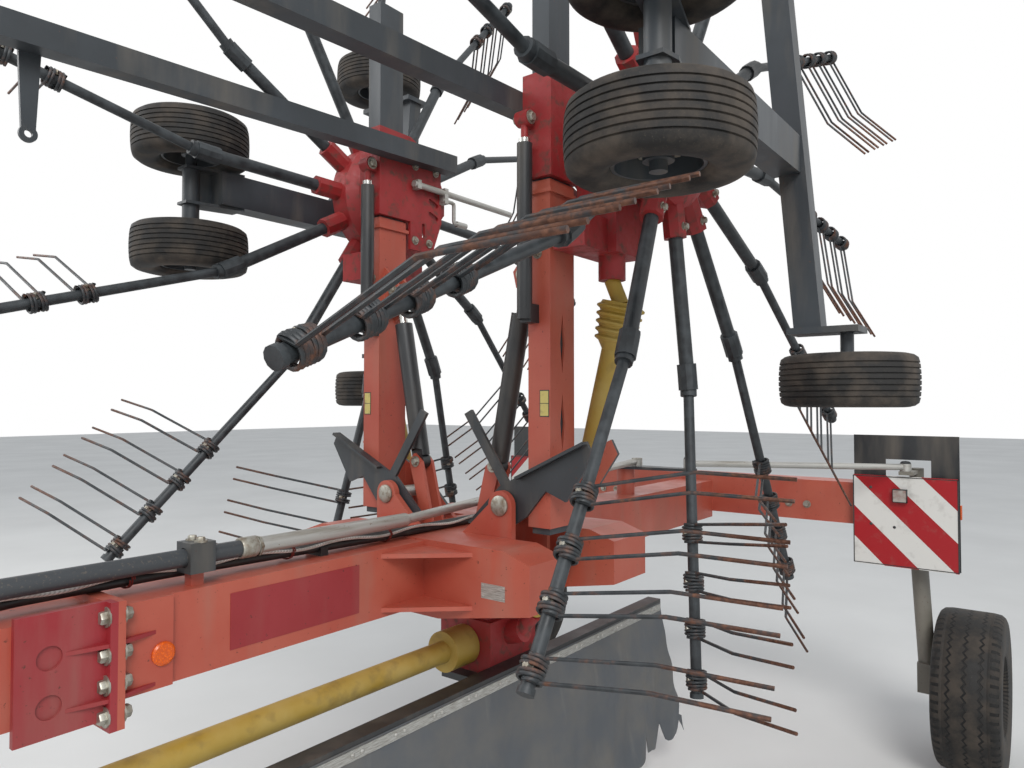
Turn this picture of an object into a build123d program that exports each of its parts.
from build123d import *
import os
from math import cos, radians, sin

# Trailed rake with two tined rotors, folded upright for the road. Sizes are in millimetres.
# While the pieces are worked out, x runs forward from the main axle, y to the left and z up from the ground.
# The finished pieces are moved back by MID_X, so that the origin is under the middle of the machine.

# Main axle, wheels and steering
TRACK_HALF = 1250
TYRE_R = 350
TYRE_W = 260
RIM_R = 152
STUB_R = 25
STUB_X, STUB_Z = 0, TYRE_R
KINGPIN_X, KINGPIN_Y = 40, 1045
KINGPIN_R = 30
LEG_R = 36
LEG_Y = 1072
STEER_LEVER = 120
STEER_Z = (1307, 1323)

# Frame
BEAM_W, BEAM_Z = 180, (1030, 1220)
BEAM_WALL = 8
CROSS_X, CROSS_Z = (-40, 120), (1060, 1255)
CROSS_HALF = 1000
SLEEVE_R = 52
FLANGE_X = 3200
FLANGE_PLATE = 15
FLANGE_W, FLANGE_Z = 250, (980, 1235)
FRONT_BEND_X = 5050
PIVOT_X = 5650
PIVOT_R = 35
PIVOT_Z = (560, 800)
DRAWBAR_Z = 620
LINK_HALF = 412
LINK_PIN_R = 14
LINK_PIN_LENGTH = 90
LINK_X = 230

# Fold hinge, at the foot of each arm
HINGE_X = (1925, 2145)
HINGE_Y, HINGE_Z = 250, 1320
HINGE_PIN_R = 20
RUNNING = 0.1
BASE_HALF = 480
BASE_Z = (1000, 1225)
BASE_FRONT_X, BASE_REAR_X = (2140, 2300), (1640, 1850)
CORE_HALF = 140
LUG_R = 45
LUG_T = 20
LUG_GAP = 6

# Arm box, the tube that slides in it and the cylinders beside it
ARM_X, ARM_Y, ARM_Z = (1970, 2100), (330, 410), (1260, 2300)
ARM_WALL = 7
SLIDE_GAP = 2
SLIDE_Z = (1240, 3090)
CHEEK_T = 12
FOLD_PIN = (2045, 170, 1430)
FOLD_EYE = (2045, 285, 2030)
FOLD_BARREL_R, FOLD_ROD_R = 31, 16
FOLD_BARREL = 490
EYE_R, EYE_W = 26, 36
EYE_GAP = 0.6
EXTEND_X, EXTEND_Y = 2142, 347
EXTEND_Z = (1880, 2480)

# Rotor and its carrier
ROTOR_X, ROTOR_Z = 1805, 2460
AXLE_R = 55
GEAR_Y = (422, 560)
HUB_Y = (562, 745)
SOCKET_END = 320
ARM_COUNT = 12
BEND_R = 780
BEND_Y = 690
INNER_SLOPE, OUTER_SLOPE = 0.058, 0.086
BEND_ANGLE = 11.9
INNER_TUBE_R, OUTER_TUBE_R = 23, 18
OUTER_LENGTH = 905
TINE_STATIONS = (444, 583, 714, 855)
COIL_PITCH = 50
COIL_R, COIL_W = 29, 24
WIRE = 9
PRONG_LENGTHS = (290, 200)
PRONG_BENDS = (8, -12)

# Chassis under the rotor, upright with it
BOX_Y, BOX_Z = (860, 950), (2370, 2490)
TWIN_X, TWIN_Y, TWIN_Z = 2470, 945, (2195, 2595)
REAR_X, REAR_Y, REAR_Z = 1430, 1075, (1700, 3220)
REAR_TUBE_Z = (1870, 3050)
REAR_TUBE_Y = {REAR_TUBE_Z[0]: (922, 1007), REAR_TUBE_Z[1]: (822, 907)}
SMALL_R, SMALL_W, SMALL_RIM_R = 203, 165, 102
SPINDLE_R = 20
GUARD_BAR_X, GUARD_BAR_Z = (1760, 3500), (2527, 2450)

# Steering gear on the beam, gear carriers and the drive shafts up to them
RELAY_X = 900
RELAY_REACH = 300
RELAY_Z = (BEAM_Z[1] + 115, BEAM_Z[1] + 127)
ROD_Y, ROD_Z = 58, 1285
ROD_BEND_X = 2350
CARRIER_Z = (ARM_Z[1] + 8, 2625)
SHAFT_TOP = (1900, 545, 1960)
SHAFT_LOW = (1900, 388, 1320)

# Drive under the beam, curtain, boards, jack and hoses
DRIVE_Z, DRIVE_R = 825, 35
GEARBOX_X = (1760, 2010)
CURTAIN_Y, CURTAIN_Z = 165, (130, 760)
CURTAIN_X = (900, 3000)
BOARD = 423
BOARD_X, BOARD_Y, BOARD_Z = 126, 1012, 1094
JACK_X, JACK_Y = 4900, 180
JACK_TUBE_R, JACK_LEG_R = 38, 30
JACK_TOP = 1290
HOSE_R = 11
HOSE_Y = (-15, 12)

# One row for each tine arm of the left rotor, then of the right one: the first arm's angle from straight
# down, towards the front, and the roll of the tines about each next arm, as the cam turns them.
FIRST_ARM = {"left": 56.3, "right": 61.5}
TINE_ROLL = {
    "left": (12, 3, 40, 67, 72, 72, 60, 45, 30, 15, 8, 8),
    "right": (20, 22, 30, 55, 70, 72, 60, 45, 30, 15, 8, 12),
}

FRONT_END = PIVOT_X + LINK_X + 45
MID_X = (FRONT_END - TYRE_R) / 2

os.makedirs("parts", exist_ok=True)


def block(x, y, z):
    """A box between a low and a high limit along each axis."""
    middle = [(low + high) / 2 for low, high in (x, y, z)]
    return Pos(*middle) * Box(x[1] - x[0], y[1] - y[0], z[1] - z[0])


def rod(start, end, radius):
    """A round bar from one point to another."""
    run = Vector(*end) - Vector(*start)
    return Plane(origin=start, z_dir=run) * Pos(0, 0, run.length / 2) * Cylinder(radius, run.length)


def prism(start, end, radius, sides=8):
    """A bar with a regular outline from one point to another."""
    run = Vector(*end) - Vector(*start)
    outline = Plane(origin=start, z_dir=run) * RegularPolygon(radius, sides)
    return extrude(outline, amount=run.length, dir=run.normalized())


def plate_x(outline, x):
    """A plate across the machine: its outline in y and z, between two values of x."""
    plane = Plane(origin=(x[0], 0, 0), x_dir=(0, 1, 0), z_dir=(1, 0, 0))
    return plane * extrude(Polygon(*outline, align=None), amount=x[1] - x[0], dir=(0, 0, 1))


def plate_y(outline, y):
    """A plate along the machine: its outline in x and z, between two values of y."""
    plane = Plane(origin=(0, y[1], 0), x_dir=(1, 0, 0), z_dir=(0, -1, 0))
    return plane * extrude(Polygon(*outline, align=None), amount=y[1] - y[0], dir=(0, 0, 1))


def turned(profile):
    """A piece turned about the z axis: its profile is a list of radius and height."""
    return revolve(Plane.XZ * Polygon(*profile, align=None), axis=Axis.Z)


def across(shape):
    """Lays a piece turned about z along y."""
    return Rot(-90, 0, 0) * shape


def fuse(pieces):
    """One solid out of several that meet."""
    whole = pieces[0]
    for piece in pieces[1:]:
        whole = whole + piece
    return whole


def save(node, shape):
    """Writes one node, moved to the origin under the machine's middle."""
    placed = Pos(-MID_X, 0, 0) * shape
    solids = placed.solids()
    export_step(solids[0] if len(solids) == 1 else Compound(solids), f"parts/{node}.step")


def save_pair(node, shape):
    """Writes a left node and its mirror image on the right."""
    save(f"{node}_left", shape)
    save(f"{node}_right", mirror(shape, about=Plane.XZ))


# Main beam: a hollow box from the cross-beam to the bolted joint
def main_beam():
    half = BEAM_W / 2
    tube = block((CROSS_X[1], FLANGE_X - FLANGE_PLATE), (-half, half), BEAM_Z)
    bore = block((CROSS_X[1], FLANGE_X - FLANGE_PLATE), (BEAM_WALL - half, half - BEAM_WALL),
                 (BEAM_Z[0] + BEAM_WALL, BEAM_Z[1] - BEAM_WALL))
    flange = block((FLANGE_X - FLANGE_PLATE, FLANGE_X), (-FLANGE_W / 2, FLANGE_W / 2), FLANGE_Z)
    taper_end = FLANGE_X - FLANGE_PLATE - 110
    tapers = []
    for side in (-1, 1):
        taper = plate_x([(side * half, BEAM_Z[0]), (side * half, BEAM_Z[1]), (side * (half + 12), BEAM_Z[1]),
                         (side * (half + 12), BEAM_Z[0])], (taper_end, FLANGE_X - FLANGE_PLATE))
        tapers.append(taper)
    return fuse([tube - bore, flange] + tapers)


# Front beam: its own flange and doubler plates, then a straight run that slopes down to the pivot sleeve
def front_beam():
    half = BEAM_W / 2
    flange = block((FLANGE_X, FLANGE_X + FLANGE_PLATE), (-FLANGE_W / 2, FLANGE_W / 2), FLANGE_Z)
    start = FLANGE_X + FLANGE_PLATE
    end = PIVOT_X - PIVOT_R - 10
    outline = [(start, BEAM_Z[0]), (start, BEAM_Z[1]), (FRONT_BEND_X + 60, BEAM_Z[1]),
               (end, PIVOT_Z[1] - 60), (end, PIVOT_Z[0]), (FRONT_BEND_X - 60, BEAM_Z[0])]
    tube = plate_y(outline, (-half, half))
    inner = BEAM_WALL
    bore = plate_y([(start, BEAM_Z[0] + inner), (start, BEAM_Z[1] - inner), (FRONT_BEND_X + 50, BEAM_Z[1] - inner),
                    (end - 40, PIVOT_Z[1] - 40), (end - 40, PIVOT_Z[0] + 60),
                    (FRONT_BEND_X - 50, BEAM_Z[0] + inner)], (inner - half, half - inner))
    pieces = [tube - bore, flange]
    for side in (-1, 1):
        low, high = sorted((side * half, side * (half + 14)))
        pieces.append(block((start, start + 160), (low, high), (FLANGE_Z[0] + 20, FLANGE_Z[1])))
    sleeve = Pos(PIVOT_X, 0, sum(PIVOT_Z) / 2) * Cylinder(PIVOT_R + 25, PIVOT_Z[1] - PIVOT_Z[0])
    hole = Pos(PIVOT_X, 0, sum(PIVOT_Z) / 2) * Cylinder(PIVOT_R + RUNNING, PIVOT_Z[1] - PIVOT_Z[0])
    beam = fuse(pieces + [sleeve]) - hole
    for side in (-1, 1):
        for z in (1150, 1058):
            beam -= Pos(start + 101, side * (half + 14), z) * across(Cylinder(23, 12))
    return beam


# Hinge base: front and rear boxes across the beam, with a gap for the arms between them, and lugs for the pins
def hinge_base():
    half = BEAM_W / 2
    pieces = []
    for x in (BASE_FRONT_X, BASE_REAR_X):
        outline = [(-BASE_HALF, BASE_Z[0] + 60), (-BASE_HALF, BASE_Z[1] - 30), (-BASE_HALF + 90, BASE_Z[1]),
                   (BASE_HALF - 90, BASE_Z[1]), (BASE_HALF, BASE_Z[1] - 30), (BASE_HALF, BASE_Z[0] + 60),
                   (half + 60, BASE_Z[0]), (-half - 60, BASE_Z[0])]
        pieces.append(plate_x(outline, x))
    pieces.append(block((BASE_REAR_X[1], BASE_FRONT_X[0]), (-CORE_HALF, CORE_HALF), BASE_Z))
    for side in (-1, 1):
        y = side * HINGE_Y
        reach = (min(y - LUG_R, y + LUG_R), max(y - LUG_R, y + LUG_R))
        front = (ARM_X[1] + CHEEK_T + LUG_GAP, ARM_X[1] + CHEEK_T + LUG_GAP + LUG_T)
        rear = (ARM_X[0] - CHEEK_T - LUG_GAP - LUG_T + 4, ARM_X[0] - CHEEK_T - LUG_GAP)
        for x in (front, rear):
            lug = plate_x([(side * 100, BASE_Z[0] + 30), (side * 100, BASE_Z[1]), (side * (HINGE_Y - LUG_R), HINGE_Z),
                           (side * (HINGE_Y + LUG_R), HINGE_Z), (side * (HINGE_Y + LUG_R), BASE_Z[1] - 60)], x)
            crown = Pos(sum(x) / 2, y, HINGE_Z) * Rot(0, 90, 0) * Cylinder(LUG_R, x[1] - x[0])
            pieces += [lug, crown]
        pieces.append(block((front[1], BASE_FRONT_X[0] + 10), reach, (BASE_Z[0] + 120, BASE_Z[1] - 10)))
        for x in (FOLD_PIN[0] - EYE_W / 2 - EYE_GAP - 12, FOLD_PIN[0] + EYE_W / 2 + EYE_GAP):
            ear = plate_x([(side * 90, BASE_Z[1]), (side * 138, BASE_Z[1]), (side * (FOLD_PIN[1] + 30), FOLD_PIN[2]),
                           (side * (FOLD_PIN[1] + 8), FOLD_PIN[2] + 28), (side * (FOLD_PIN[1] - 28), FOLD_PIN[2])],
                          (x, x + 12))
            pieces.append(ear)
        for x, ahead in ((BASE_FRONT_X[1], 170), (BASE_REAR_X[0], -170)):
            flare = Polygon((x, side * half), (x, side * (half + 190)), (x + ahead, side * half), align=None)
            for z in (BASE_Z[0] + 45, BASE_Z[1] - 30):
                pieces.append(Pos(0, 0, z) * extrude(flare, amount=12, dir=(0, 0, 1)))
    base = fuse(pieces)
    base -= block((BASE_REAR_X[0], BASE_FRONT_X[1]), (-half, half), BEAM_Z)
    for side in (-1, 1):
        base -= Pos(sum(HINGE_X) / 2, side * HINGE_Y, HINGE_Z) * Rot(0, 90, 0) * Cylinder(HINGE_PIN_R, 600)
    return base


# Pins of the two fold hinges, held in the base's lugs
def fold_pins():
    length = HINGE_X[1] - HINGE_X[0]
    pins = []
    for side in (-1, 1):
        pins.append(Pos(sum(HINGE_X) / 2, side * HINGE_Y, HINGE_Z) * Rot(0, 90, 0) * Cylinder(HINGE_PIN_R, length))
        eye = Pos(FOLD_PIN[0], side * FOLD_PIN[1], FOLD_PIN[2]) * Rot(0, 90, 0)
        pins.append(eye * Cylinder(12, EYE_W + 2 * EYE_GAP))
    return Compound(pins)


# Rear cross-beam with a sleeve for a kingpin at each end
def cross_beam():
    wall = BEAM_WALL
    tube = block(CROSS_X, (-CROSS_HALF, CROSS_HALF), CROSS_Z)
    bore = block((CROSS_X[0] + wall, CROSS_X[1] - wall), (wall - CROSS_HALF, CROSS_HALF - wall),
                 (CROSS_Z[0] + wall, CROSS_Z[1] - wall))
    pieces = [tube - bore]
    for side in (-1, 1):
        sleeve = Pos(KINGPIN_X, side * KINGPIN_Y, sum(CROSS_Z) / 2) * Cylinder(SLEEVE_R, CROSS_Z[1] - CROSS_Z[0])
        pieces.append(sleeve)
    beam = fuse(pieces)
    for side in (-1, 1):
        hole = Cylinder(KINGPIN_R + RUNNING, CROSS_Z[1] - CROSS_Z[0])
        beam -= Pos(KINGPIN_X, side * KINGPIN_Y, sum(CROSS_Z) / 2) * hole
    return beam


# Knuckle: kingpin, steering lever, leg and the stub axle that carries a main wheel
def knuckle():
    pin = rod((KINGPIN_X, KINGPIN_Y, CROSS_Z[0] - 40), (KINGPIN_X, KINGPIN_Y, STEER_Z[1] + 8), KINGPIN_R)
    collar = rod((KINGPIN_X, KINGPIN_Y, CROSS_Z[0] - 50), (KINGPIN_X, KINGPIN_Y, CROSS_Z[0] - 0.5), SLEEVE_R)
    leg = rod((KINGPIN_X, KINGPIN_Y, CROSS_Z[0] - 45), (STUB_X, LEG_Y, STUB_Z + 60), LEG_R)
    foot = block((STUB_X - 45, STUB_X + 45), (LEG_Y - LEG_R, LEG_Y + LEG_R), (STUB_Z - 45, STUB_Z + 90))
    stub = rod((STUB_X, LEG_Y, STUB_Z), (STUB_X, TRACK_HALF + 40, STUB_Z), STUB_R)
    lever = block((KINGPIN_X - 35, KINGPIN_X + STEER_LEVER + 25), (KINGPIN_Y - 50, KINGPIN_Y + 10), STEER_Z)
    return fuse([pin, collar, leg, foot, stub, lever])


# Main wheel: a worn implement tyre on a dished rim
def main_tyre():
    half = TYRE_W / 2
    profile = [(RIM_R, -90), (RIM_R + 30, -half + 4), (TYRE_R - 75, -half), (TYRE_R - 18, -half + 18),
               (TYRE_R, -half + 40), (TYRE_R, half - 40), (TYRE_R - 18, half - 18), (TYRE_R - 75, half),
               (RIM_R + 30, half - 4), (RIM_R, 90)]
    return Pos(STUB_X, TRACK_HALF, STUB_Z) * across(turned(profile))


def main_rim():
    profile = [(STUB_R + RUNNING, -60), (55, -60), (60, -20), (RIM_R - 14, -35), (RIM_R - 14, -90), (RIM_R, -90),
               (RIM_R, 90), (RIM_R - 14, 90), (RIM_R - 14, -10), (62, 5), (48, 62), (STUB_R + RUNNING, 62)]
    return Pos(STUB_X, TRACK_HALF, STUB_Z) * across(turned(profile))


# Steering: a rod along the beam, a relay on the beam and a track rod to each knuckle's lever
def relay_post():
    post = rod((RELAY_X, 0, BEAM_Z[1]), (RELAY_X, 0, RELAY_Z[0] - 0.5), 40)
    pin = rod((RELAY_X, 0, RELAY_Z[0] - 10), (RELAY_X, 0, RELAY_Z[1] + 8), 15)
    return fuse([post, pin])


def relay():
    outline = [(RELAY_X - 45, -RELAY_REACH - 25), (RELAY_X + 5, -RELAY_REACH - 25), (RELAY_X + 55, 0),
               (RELAY_X + 5, RELAY_REACH + 25), (RELAY_X - 45, RELAY_REACH + 25), (RELAY_X - 55, 0)]
    depth = RELAY_Z[1] - RELAY_Z[0]
    plate = Pos(0, 0, RELAY_Z[0]) * extrude(Polygon(*outline, align=None), amount=depth, dir=(0, 0, 1))
    return plate - Pos(RELAY_X, 0, sum(RELAY_Z) / 2) * Cylinder(15 + RUNNING, 40)


def steering_rod():
    front = rod((5200, ROD_Y, ROD_Z), (ROD_BEND_X, ROD_Y, ROD_Z), 20)
    rear = rod((ROD_BEND_X, ROD_Y, ROD_Z), (RELAY_X + 20, ROD_Y, RELAY_Z[1] + 22), 14)
    knee = Pos(ROD_BEND_X, ROD_Y, ROD_Z) * Sphere(20)
    eye = Pos(RELAY_X, ROD_Y, RELAY_Z[1] + 0.5 + 18) * Cylinder(24, 36)
    return fuse([front, knee, rear, eye])


def track_rod():
    relay_end = (RELAY_X - 20, RELAY_REACH, RELAY_Z[1] + 22)
    lever_end = (KINGPIN_X + STEER_LEVER, KINGPIN_Y - 25, STEER_Z[1] + 19)
    tube = rod(relay_end, lever_end, 14)
    ball_a = Pos(relay_end[0], relay_end[1], RELAY_Z[1] + 0.5 + 21) * Cylinder(24, 42)
    ball_b = Pos(lever_end[0], lever_end[1], STEER_Z[1] + 0.5 + 17) * Cylinder(24, 34)
    return fuse([tube, ball_a, ball_b])


# Rod guide: a clamp block on a foot that holds the steering rod above the beam
def rod_guide(x):
    foot = block((x - 15, x + 15), (ROD_Y - 22, ROD_Y + 6), (BEAM_Z[1], ROD_Z - 10))
    clamp = block((x - 30, x + 30), (ROD_Y - 30, ROD_Y + 30), (ROD_Z - 34, ROD_Z + 34))
    return foot + clamp - rod((x - 40, ROD_Y, ROD_Z), (x + 40, ROD_Y, ROD_Z), 22)


# Headstock: a pivot pin in the front sleeve, a mast and a cross bar with a link pin at each end
def headstock():
    half = LINK_HALF
    pin = rod((PIVOT_X, 0, PIVOT_Z[0] - 60), (PIVOT_X, 0, PIVOT_Z[1] + 60), PIVOT_R)
    arms = []
    for z in ((PIVOT_Z[0] - 40, PIVOT_Z[0] - 1), (PIVOT_Z[1] + 1, PIVOT_Z[1] + 40)):
        arms.append(block((PIVOT_X - 50, PIVOT_X + LINK_X - 30), (-50, 50), z))
    post = block((PIVOT_X + LINK_X - 60, PIVOT_X + LINK_X), (-60, 60), (PIVOT_Z[0] - 60, PIVOT_Z[1] + 80))
    bar = block((PIVOT_X + LINK_X - 45, PIVOT_X + LINK_X + 45), (-half, half), (DRAWBAR_Z - 45, DRAWBAR_Z + 45))
    pieces = [pin] + arms + [post, bar]
    for side in (-1, 1):
        brace = plate_x([(side * 60, PIVOT_Z[1] + 70), (side * 60, PIVOT_Z[1] - 20), (side * 330, DRAWBAR_Z + 45),
                         (side * 400, DRAWBAR_Z + 45)], (PIVOT_X + LINK_X - 8, PIVOT_X + LINK_X + 8))
        pieces.append(brace)
        low, high = sorted((side * LINK_HALF, side * (LINK_HALF + LINK_PIN_LENGTH)))
        pieces.append(rod((PIVOT_X + LINK_X, low, DRAWBAR_Z), (PIVOT_X + LINK_X, high, DRAWBAR_Z), LINK_PIN_R))
    return fuse(pieces)


# Screw jack on the front beam: a fixed outer tube, and a leg with a foot that stands on the ground
def jack_tube():
    tube = rod((JACK_X, JACK_Y, 480), (JACK_X, JACK_Y, JACK_TOP), JACK_TUBE_R)
    bore = rod((JACK_X, JACK_Y, 480), (JACK_X, JACK_Y, JACK_TOP - 20), JACK_LEG_R + RUNNING)
    bracket = block((JACK_X - 40, JACK_X + 40), (BEAM_W / 2, JACK_Y - JACK_TUBE_R + 6), (BEAM_Z[0], BEAM_Z[1]))
    crank = rod((JACK_X, JACK_Y, JACK_TOP), (JACK_X, JACK_Y, JACK_TOP + 40), 10)
    handle = rod((JACK_X, JACK_Y, JACK_TOP + 35), (JACK_X, JACK_Y + 130, JACK_TOP + 35), 9)
    return fuse([tube, bracket, crank, handle]) - bore


def jack_leg():
    leg = rod((JACK_X, JACK_Y, 12), (JACK_X, JACK_Y, 800), JACK_LEG_R)
    foot = Pos(JACK_X, JACK_Y, 6) * Cylinder(95, 12)
    return leg + foot


# Arm: a box with two cheek plates at its foot that turn on the fold pin, and ears for the fold cylinder
CHEEK_OUTLINE = [(100, 1252), (229, 1376), (540, 1522), (562, 1480), (470, 1345), (400, 1372), (330, 1290),
                 (285, 1262), (130, 1245)]
SLOTS = ((1900, 1720), (1660, 1480))


def arm_box():
    tube = block(ARM_X, ARM_Y, ARM_Z)
    bore = block((ARM_X[0] + ARM_WALL, ARM_X[1] - ARM_WALL), (ARM_Y[0] + ARM_WALL, ARM_Y[1] - ARM_WALL), ARM_Z)
    arm = tube - bore
    middle = sum(ARM_X) / 2
    for top, bottom in SLOTS:
        slot = plate_y([(middle, top), (middle + 12, (top + bottom) / 2), (middle, bottom),
                        (middle - 12, (top + bottom) / 2)], (ARM_Y[1] - ARM_WALL - 1, ARM_Y[1] + 1))
        arm -= slot
    collar = block((ARM_X[0] - 8, ARM_X[1] + 8), (ARM_Y[0] - 8, ARM_Y[1] + 8), (ARM_Z[1] - 40, ARM_Z[1] - 28))
    collar -= block(ARM_X, ARM_Y, (ARM_Z[1] - 50, ARM_Z[1]))
    ears = []
    for x in (FOLD_EYE[0] - EYE_W / 2 - EYE_GAP - 12, FOLD_EYE[0] + EYE_W / 2 + EYE_GAP):
        ears.append(plate_x([(ARM_Y[0], FOLD_EYE[2] - 110), (FOLD_EYE[1] - 20, FOLD_EYE[2] - 40),
                             (FOLD_EYE[1] - 32, FOLD_EYE[2] + 10), (FOLD_EYE[1] - 10, FOLD_EYE[2] + 36),
                             (ARM_Y[0], FOLD_EYE[2] + 90)], (x, x + 12)))
    return fuse([arm, collar] + ears)


def arm():
    cheeks = []
    for x in ((ARM_X[0] - CHEEK_T, ARM_X[0]), (ARM_X[1], ARM_X[1] + CHEEK_T)):
        cheek = plate_x(CHEEK_OUTLINE, x)
        hole = Pos(sum(x) / 2, HINGE_Y, HINGE_Z) * Rot(0, 90, 0) * Cylinder(HINGE_PIN_R + RUNNING, 60)
        cheeks.append(cheek - hole)
    lever_x = (ARM_X[1], ARM_X[1] + CHEEK_T)
    lever = plate_x([(232, 1378), (262, 1390), (112, 1610), (84, 1596)], lever_x)
    flange = plate_x([(300, 1409), (540, 1522), (544, 1514), (304, 1401)], (ARM_X[1] + CHEEK_T, ARM_X[1] + 34))
    return fuse([arm_box()] + cheeks + [lever, flange])


# Fold cylinder: its barrel turns on a pin between the base's ears, and its rod's eye lies between the arm's
def fold_axis_point(distance):
    start, end = Vector(*FOLD_PIN), Vector(*FOLD_EYE)
    return tuple(start + (end - start).normalized() * distance)


def fold_barrel():
    eye = Pos(*FOLD_PIN) * Rot(0, 90, 0) * Cylinder(EYE_R, EYE_W)
    barrel = rod(fold_axis_point(18), fold_axis_point(FOLD_BARREL), FOLD_BARREL_R)
    bore = rod(fold_axis_point(60), fold_axis_point(FOLD_BARREL), FOLD_ROD_R + RUNNING)
    slot = Pos(*FOLD_PIN) * Rot(0, 90, 0) * (Cylinder(45, 90) - Cylinder(45, EYE_W))
    hole = Pos(*FOLD_PIN) * Rot(0, 90, 0) * Cylinder(12 + RUNNING, 80)
    return eye + (barrel - bore - slot) - hole


def fold_rod():
    length = (Vector(*FOLD_EYE) - Vector(*FOLD_PIN)).length
    bar = rod(fold_axis_point(80), fold_axis_point(length - 10), FOLD_ROD_R)
    eye = Pos(*FOLD_EYE) * Rot(0, 90, 0) * Cylinder(EYE_R, EYE_W)
    return bar + eye


# Extension cylinder on the arm's front face: barrel, middle stage, and the rod that the carrier pulls
def extend_barrel():
    low, high = EXTEND_Z[0], EXTEND_Z[1] - 75
    tube = rod((EXTEND_X, EXTEND_Y, low), (EXTEND_X, EXTEND_Y, high), 23)
    bore = rod((EXTEND_X, EXTEND_Y, low + 20), (EXTEND_X, EXTEND_Y, high), 17 + RUNNING)
    clamp = block((ARM_X[1], EXTEND_X), (EXTEND_Y - 17, EXTEND_Y + 23), (low - 10, low + 45))
    return fuse([tube, clamp]) - bore


def extend_stage():
    low, high = EXTEND_Z[0] + 22, EXTEND_Z[1] - 60
    tube = rod((EXTEND_X, EXTEND_Y, low), (EXTEND_X, EXTEND_Y, high), 17)
    return tube - rod((EXTEND_X, EXTEND_Y, low + 10), (EXTEND_X, EXTEND_Y, high), 11 + RUNNING)


def extend_rod():
    tube = rod((EXTEND_X, EXTEND_Y, EXTEND_Z[0] + 34), (EXTEND_X, EXTEND_Y, EXTEND_Z[1]), 11)
    eye = Pos(EXTEND_X, EXTEND_Y, EXTEND_Z[1]) * across(Cylinder(24, 44))
    lug = block((ARM_X[1] + 12, EXTEND_X), (EXTEND_Y - 14, EXTEND_Y + 14), (EXTEND_Z[1] - 20, EXTEND_Z[1] + 20))
    return fuse([tube, eye, lug])


# Slide tube: it carries the rotor and runs in the arm box
def slide_tube():
    inset = ARM_WALL + SLIDE_GAP
    tube = block((ARM_X[0] + inset, ARM_X[1] - inset), (ARM_Y[0] + inset, ARM_Y[1] - inset), SLIDE_Z)
    wall = 6
    bore = block((ARM_X[0] + inset + wall, ARM_X[1] - inset - wall),
                 (ARM_Y[0] + inset + wall, ARM_Y[1] - inset - wall), SLIDE_Z)
    cap = block((ARM_X[0] - 20, ARM_X[1] + 20), (ARM_Y[0] - 10, ARM_Y[1] + 10), (SLIDE_Z[1] - 130, SLIDE_Z[1] - 118))
    cap -= block((ARM_X[0] + inset, ARM_X[1] - inset), (ARM_Y[0] + inset, ARM_Y[1] - inset),
                 (SLIDE_Z[1] - 140, SLIDE_Z[1]))
    return fuse([tube - bore, cap])


# Gear housing: carrier box round the slide tube, plates back to the rotor's axle, gear case and drive neck
def gear_housing():
    inset = ARM_WALL + SLIDE_GAP
    box = block((ARM_X[0] - 12, ARM_X[1] + 12), (ARM_Y[0] - 12, ARM_Y[1] + 12), CARRIER_Z)
    box -= block((ARM_X[0] + inset, ARM_X[1] - inset), (ARM_Y[0] + inset, ARM_Y[1] - inset), CARRIER_Z)
    outline = [(ARM_X[0] - 12, CARRIER_Z[0]), (ARM_X[0] - 12, CARRIER_Z[1]), (ROTOR_X - 60, ROTOR_Z + 110),
               (ROTOR_X - 130, ROTOR_Z + 20), (ROTOR_X - 130, ROTOR_Z - 60), (ROTOR_X - 50, CARRIER_Z[0])]
    inner = plate_y([(ARM_X[0] - 12, 2205), (ARM_X[0] - 12, CARRIER_Z[1]), (1796, 2553), (1790, 2330), (1840, 2205)],
                    (ARM_Y[0] - 12, ARM_Y[0]))
    for x, z, slant in ((1835, 2400, 20), (1835, 2350, 20), (1890, 2285, 90)):
        inner -= Pos(x, ARM_Y[0] - 6, z) * Rot(90, 0, 0) * extrude(Rot(0, 0, slant) * SlotOverall(56, 18), 8, both=True)
    plates = [inner, plate_y(outline, (ARM_Y[1], ARM_Y[1] + 12))]
    case = Pos(ROTOR_X, sum(GEAR_Y) / 2, ROTOR_Z) * across(Cylinder(140, GEAR_Y[1] - GEAR_Y[0]))
    axle = Pos(ROTOR_X, (GEAR_Y[0] + BOX_Y[0]) / 2, ROTOR_Z) * across(Cylinder(AXLE_R, BOX_Y[0] - GEAR_Y[0]))
    arm = block((1800, 1970), GEAR_Y, (2085, ROTOR_Z))
    shelf = block((1790, ARM_X[1]), (GEAR_Y[0], GEAR_Y[1] - 30), (2085, 2185))
    neck = rod((SHAFT_TOP[0], SHAFT_TOP[1] - 40, 2010), (SHAFT_TOP[0], SHAFT_TOP[1] - 40, 2090), 42)
    return fuse([box] + plates + [case, axle, arm, shelf, neck, extend_rod()])


# Drive shaft guard: a tube that widens to a ribbed bell under the gear housing's neck
def shaft_guard():
    top, low = Vector(*SHAFT_TOP), Vector(*SHAFT_LOW)
    reach = (top - low).length
    rows = [(33, 0), (33, reach - 170), (50, reach - 145)]
    for rib in range(5):
        start = reach - 145 + rib * 24
        rows += [(52 + 3 * rib, start), (62 + 3 * rib, start + 6), (62 + 3 * rib, start + 12), (52 + 3 * rib, start + 18)]
    rows += [(60, reach - 22), (0, reach - 22), (0, 0)]
    guard = Plane(origin=SHAFT_LOW, z_dir=top - low) * turned(rows)
    joint_start = tuple(top - (top - low).normalized() * 30)
    joint = rod(joint_start, (SHAFT_TOP[0], SHAFT_TOP[1] - 40, 2010), 24)
    neck = rod((SHAFT_TOP[0], SHAFT_TOP[1] - 40, 2010), (SHAFT_TOP[0], SHAFT_TOP[1] - 40, 2090), 42)
    return guard + joint - neck


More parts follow.
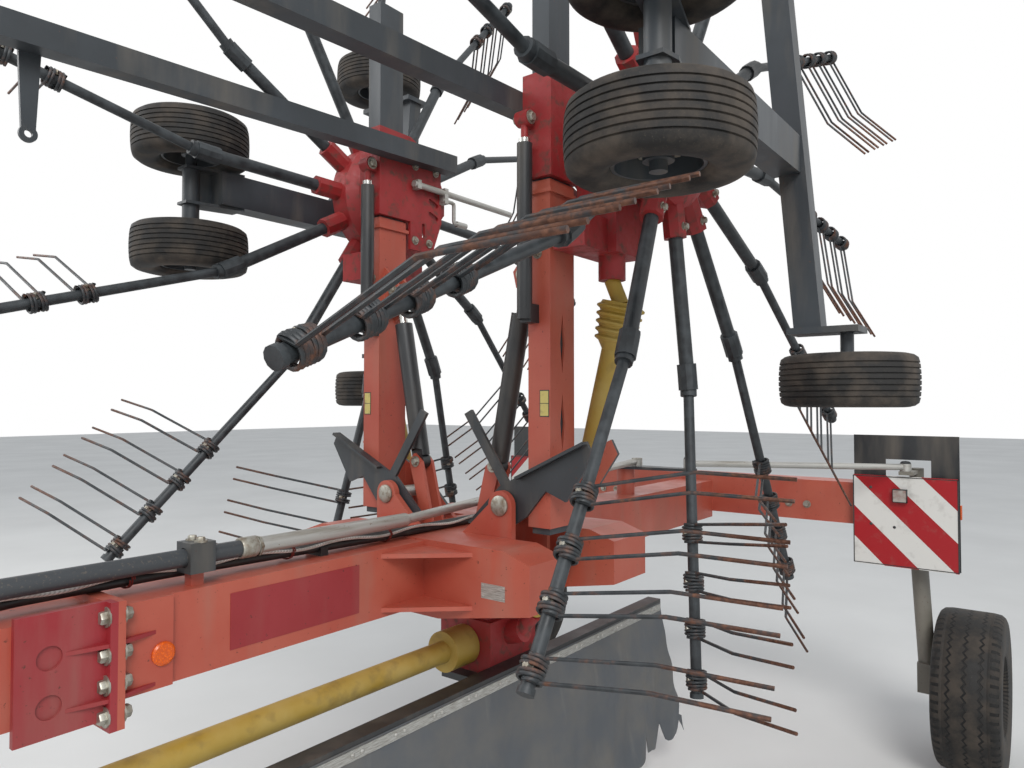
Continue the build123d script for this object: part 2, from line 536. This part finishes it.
# Guard bar: a square tube beside the rotor that falls a little towards its front end
def guard_bar():
    (rear, front), (high, low) = GUARD_BAR_X, GUARD_BAR_Z
    outline = [(rear, high), (rear, high + 66), (front, low + 66), (front, low)]
    return plate_y(outline, (ARM_Y[0] - 12 - 56, ARM_Y[0] - 12))


def latch_lever():
    """The lock's lever, which hangs from the right guard bar alone."""
    y = (2 - ARM_Y[0], 12 - ARM_Y[0])
    lever = plate_y([(3205, 2270), (3195, 2480), (3245, 2480), (3235, 2270)], y)
    middle = Pos(3220, sum(y) / 2, 2270)
    return lever + middle * across(Cylinder(20, 10)) - middle * across(Cylinder(9, 12))


# Rotor hub: a turned casting with a socket for each tine arm
def arm_start(side, number):
    return FIRST_ARM[side] - number * 360 / ARM_COUNT


def inner_y(radius):
    return BEND_Y - INNER_SLOPE * (BEND_R - radius)


def rotor_point(angle, radius, y):
    return (ROTOR_X + sin(radians(angle)) * radius, y, ROTOR_Z - cos(radians(angle)) * radius)


def rotor_hub(side):
    profile = [(AXLE_R + 0.5, HUB_Y[0]), (190, HUB_Y[0]), (225, HUB_Y[0] + 40), (225, HUB_Y[0] + 120),
               (150, HUB_Y[1]), (AXLE_R + 0.5, HUB_Y[1])]
    body = Pos(ROTOR_X, 0, ROTOR_Z) * across(turned(profile))
    pieces = [body]
    for number in range(ARM_COUNT):
        angle = arm_start(side, number)
        pieces.append(prism(rotor_point(angle, 190, inner_y(190)), rotor_point(angle, SOCKET_END, inner_y(SOCKET_END)),
                            INNER_TUBE_R + 14))
    hub = fuse(pieces)
    return hub if side == "left" else mirror(hub, about=Plane.XZ)


# Tine arms: an inner and an outer tube that meet at the lock bracket, and four double tines on each.
# The cam rolls the tines about the outer tube, so each arm has its own roll.
def tine_arm(angle, roll):
    bend = radians(angle + BEND_ANGLE)
    along = Vector(sin(bend), OUTER_SLOPE, -cos(bend)).normalized()
    trailing = Vector(cos(bend), 0, sin(bend))
    outward = (Vector(0, 1, 0) - along * along.Y).normalized()
    joint = Vector(*rotor_point(angle, BEND_R, BEND_Y))
    inner = prism(rotor_point(angle, SOCKET_END, inner_y(SOCKET_END)), tuple(joint), INNER_TUBE_R)
    outer = prism(tuple(joint - along * 30), tuple(joint + along * OUTER_LENGTH), OUTER_TUBE_R)
    lock = prism(tuple(joint - along * 55), tuple(joint + along * 25), INNER_TUBE_R + 9, 6)
    pieces = [inner, outer, lock]
    for station in TINE_STATIONS:
        middle = joint + along * station
        for offset in (-COIL_PITCH / 2, COIL_PITCH / 2):
            start = middle + along * offset
            pieces.append(prism(tuple(start - along * COIL_W / 2), tuple(start + along * COIL_W / 2), COIL_R))
            for length, bent in zip(PRONG_LENGTHS, PRONG_BENDS):
                turn = radians(roll + bent)
                run = outward * cos(turn) + trailing * sin(turn)
                end = start + run * length
                pieces.append(prism(tuple(start), tuple(end + run * 3), WIRE * 0.62, 4))
                start = end
    return fuse(pieces)


def tine_arms(side):
    arms = []
    for number, roll in enumerate(TINE_ROLL[side]):
        arm = tine_arm(arm_start(side, number), roll)
        arms.append(arm if side == "left" else mirror(arm, about=Plane.XZ))
    return Compound(arms)


# Chassis under the rotor: a box, the twin wheels' axle, and a rear tube with a foot plate and spindle at each end
def chassis():
    box = block((REAR_X + 30, TWIN_X - 75), BOX_Y, BOX_Z)
    (low_z, low_y), (high_z, high_y) = REAR_TUBE_Y.items()
    rear = plate_x([(low_y[0], low_z), (low_y[1], low_z), (high_y[1], high_z), (high_y[0], high_z)],
                   (REAR_X - 35, REAR_X + 35))
    hub = Pos(ROTOR_X, BOX_Y[0] + 10, ROTOR_Z) * across(Cylinder(95, 20))
    half = SMALL_W / 2
    twin = rod((TWIN_X, TWIN_Y, TWIN_Z[0] - half + 10), (TWIN_X, TWIN_Y, TWIN_Z[1] + half - 10), SPINDLE_R)
    sleeve = rod((TWIN_X, TWIN_Y, BOX_Z[0] - 70), (TWIN_X, TWIN_Y, BOX_Z[1] + 15), SPINDLE_R + 10)
    web = block((TWIN_X - 80, TWIN_X - 15), (TWIN_Y - 12, TWIN_Y), BOX_Z)
    pieces = [box, rear, hub, twin, sleeve, web]
    ear = [(TWIN_X - 170, BOX_Y[0] + 4), (TWIN_X - 170, BOX_Y[1] - 4), (TWIN_X - 20, TWIN_Y + 40),
           (TWIN_X + 36, TWIN_Y + 30), (TWIN_X + 36, TWIN_Y - 34)]
    for z in (BOX_Z[0] - 10, BOX_Z[1]):
        pieces.append(Pos(0, 0, z) * extrude(Polygon(*ear, align=None), amount=10, dir=(0, 0, 1)))
    for wheel_z, end in zip(REAR_Z, REAR_TUBE_Z):
        sign = 1 if wheel_z > end else -1
        low, high = sorted((end, end + sign * 20))
        plate = block((REAR_X - 62, REAR_X + 62), (REAR_TUBE_Y[end][0] - 14, REAR_Y + 46), (low, high))
        spindle = rod((REAR_X, REAR_Y, end), (REAR_X, REAR_Y, wheel_z + sign * 30), SPINDLE_R)
        pieces += [plate, spindle]
    return fuse(pieces)


# Small wheels: smooth-shouldered tyres on pressed rims
def small_tyre(x, y, z):
    half = SMALL_W / 2
    profile = [(SMALL_RIM_R, -60), (SMALL_RIM_R + 22, -half), (SMALL_R - 30, -half), (SMALL_R - 6, -half + 16),
               (SMALL_R, -half + 34), (SMALL_R, half - 34), (SMALL_R - 6, half - 16), (SMALL_R - 30, half),
               (SMALL_RIM_R + 22, half), (SMALL_RIM_R, 60)]
    return Pos(x, y, z) * turned(profile)


def small_rim(x, y, z):
    profile = [(SPINDLE_R + RUNNING, -50), (34, -50), (34, -12), (SMALL_RIM_R - 8, -12), (SMALL_RIM_R - 8, -60),
               (SMALL_RIM_R, -60), (SMALL_RIM_R, 60), (SMALL_RIM_R - 8, 60), (SMALL_RIM_R - 8, 12), (34, 12),
               (34, 50), (SPINDLE_R + RUNNING, 50)]
    return Pos(x, y, z) * turned(profile)


# Drive line under the beam: guard tube, its front support, the centre gearbox and stubs towards the arms
def drive_guard():
    tube = rod((GEARBOX_X[1] + 60, 0, DRIVE_Z), (5100, 0, DRIVE_Z), DRIVE_R)
    bell = rod((GEARBOX_X[1] + 1, 0, DRIVE_Z), (GEARBOX_X[1] + 110, 0, DRIVE_Z), DRIVE_R + 30)
    return fuse([tube, bell])


def drive_support():
    hanger = block((4940, 4980), (-30, 30), (DRIVE_Z + DRIVE_R + 2, BEAM_Z[0] + 4))
    ring = Pos(4960, 0, DRIVE_Z) * Rot(0, 90, 0) * (Cylinder(DRIVE_R + 16, 40) - Cylinder(DRIVE_R, 40))
    return fuse([hanger, ring])


def centre_gearbox():
    case = block(GEARBOX_X, (-110, 110), (DRIVE_Z - 85, DRIVE_Z + 85))
    bolted = block((GEARBOX_X[0] + 20, GEARBOX_X[1] - 20), (-90, 90), (DRIVE_Z + 85, BASE_Z[0]))
    pieces = [case, bolted]
    for side in (-1, 1):
        pieces.append(rod((1900, side * 100, DRIVE_Z + 30), (1900, side * 165, DRIVE_Z + 50), 40))
        pieces.append(rod((1900, side * 150, DRIVE_Z + 45), (1900, side * 210, DRIVE_Z + 110), 24))
    return fuse(pieces) - shaft_stub() - mirror(shaft_stub(), about=Plane.XZ)


def shaft_stub():
    return rod((1900, 200, 945), (1900, 360, 1190), 33)


# Hydraulic hoses: two lines clipped along the beam's top, from a block on the hinge base to one near the front
def hoses():
    low, base, flange = (top + HOSE_R + 1 for top in (BEAM_Z[1], BASE_Z[1], FLANGE_Z[1]))
    width = (HOSE_Y[0] - HOSE_R - 8, HOSE_Y[1] + HOSE_R + 8)
    pieces = []
    for y in HOSE_Y:
        route = FilletPolyline((1890, y, base), (2450, y, base), (3060, y, flange), (3340, y, flange),
                               (3650, y, low), (5010, y, low), radius=250)
        pieces.append(sweep(Plane(origin=route @ 0, z_dir=route % 0) * Circle(HOSE_R), path=route))
    for x in (2620, 3800, 4150, 4700):
        pieces.append(block((x - 12, x + 12), width, (BEAM_Z[1], BEAM_Z[1] + 22)))
    pieces.append(block((1870, 1910), width, (BASE_Z[1], BASE_Z[1] + 36)))
    pieces.append(block((4990, 5030), width, (BEAM_Z[1], BEAM_Z[1] + 36)))
    return fuse(pieces)


# Swath curtain: a channel below the beam, a clamping strip and the hanging sheet
def curtain_channel():
    channel = block(CURTAIN_X, (CURTAIN_Y - 55, CURTAIN_Y + 5), (CURTAIN_Z[1] - 50, CURTAIN_Z[1] + 10))
    bracket = block((GEARBOX_X[0] - 60, GEARBOX_X[1] + 50), (-60, CURTAIN_Y - 50), (DRIVE_Z - 107, DRIVE_Z - 85))
    return channel + bracket


def curtain():
    outline = [(CURTAIN_X[1], CURTAIN_Z[1] - 2), (CURTAIN_X[0] + 10, CURTAIN_Z[1] - 2), (CURTAIN_X[0] - 240, 180),
               (CURTAIN_X[0] - 120, CURTAIN_Z[0]), (CURTAIN_X[1] - 40, CURTAIN_Z[0])]
    return plate_y(outline, (CURTAIN_Y + 5.3, CURTAIN_Y + 8.3))


# Warning board: a panel that stands off a back plate on the cross-beam's front face, with a lamp
def warning_board():
    back = block((BOARD_X, BOARD_X + 4), (BOARD_Y - 215, BOARD_Y + 215), (BOARD_Z - 205, STEER_Z[1] + 160))
    back -= block((BOARD_X, BOARD_X + 4), (KINGPIN_Y - 112, KINGPIN_Y + 72), (STEER_Z[0] - 12, STEER_Z[1] + 50))
    pieces = [back]
    for y in (BOARD_Y - 195, BOARD_Y - 60):
        pieces.append(block((CROSS_X[1], BOARD_X), (y, y + 40), (CROSS_Z[0] + 20, CROSS_Z[1] - 20)))
    for y in (BOARD_Y - 150, BOARD_Y + 110):
        pieces.append(block((BOARD_X + 4, BOARD_X + 36), (y, y + 40), (BOARD_Z - 120, BOARD_Z + 120)))
    return fuse(pieces)


def warning_panel():
    half = BOARD / 2
    x = BOARD_X + 36
    return block((x, x + 3), (BOARD_Y - half, BOARD_Y + half), (BOARD_Z - half + 6, BOARD_Z + half - 6))


def board_lamp():
    x = BOARD_X + 39
    return block((x, x + 24), (BOARD_Y - 40, BOARD_Y + 12), (BOARD_Z + 92, BOARD_Z + 144))


save("main_beam", fuse([main_beam(), cross_beam(), relay_post(), rod_guide(3000)]))
save("front_beam", fuse([front_beam(), rod_guide(4400), drive_support()]))
save("hoses", hoses())
save("hinge_base", hinge_base())
save("fold_pins", fold_pins())
save("relay", relay())
save("steering_rod", steering_rod())
save("headstock", headstock())
save("jack_tube", jack_tube())
save("jack_leg", jack_leg())
save("drive_guards", Compound([drive_guard(), shaft_stub(), mirror(shaft_stub(), about=Plane.XZ)]))
save("centre_gearbox", centre_gearbox())
save("curtain_channel", curtain_channel())
save("curtain", curtain())
for node, piece in zip(("board_backs", "board_panels", "board_lamps"),
                       (warning_board(), warning_panel(), board_lamp())):
    save(node, Compound([piece, mirror(piece, about=Plane.XZ)]))

save_pair("knuckle", knuckle())
save_pair("main_tyre", main_tyre())
save_pair("main_rim", main_rim())
save_pair("track_rod", track_rod())
save_pair("arm", arm())
save_pair("fold_barrel", fold_barrel())
save_pair("fold_rod", fold_rod())
save_pair("extend_barrel", extend_barrel())
save_pair("extend_stage", extend_stage())
save_pair("slide_tube", slide_tube())
save_pair("gear_housing", gear_housing())
save_pair("shaft_guard", shaft_guard())
save("chassis_left", Compound([chassis(), guard_bar()]))
save("chassis_right", Compound([mirror(Compound([chassis()]), about=Plane.XZ),
                                mirror(guard_bar(), about=Plane.XZ) + latch_lever()]))
for side in ("left", "right"):
    save(f"rotor_hub_{side}", rotor_hub(side))
    save(f"tine_arms_{side}", tine_arms(side))

twins = [(TWIN_X, TWIN_Y, z) for z in TWIN_Z]
save_pair("twin_tyres", Compound([small_tyre(*place) for place in twins]))
save_pair("twin_rims", Compound([small_rim(*place) for place in twins]))
for name, z in zip(("lower", "upper"), REAR_Z):
    save_pair(f"rear_tyre_{name}", small_tyre(REAR_X, REAR_Y, z))
    save_pair(f"rear_rim_{name}", small_rim(REAR_X, REAR_Y, z))
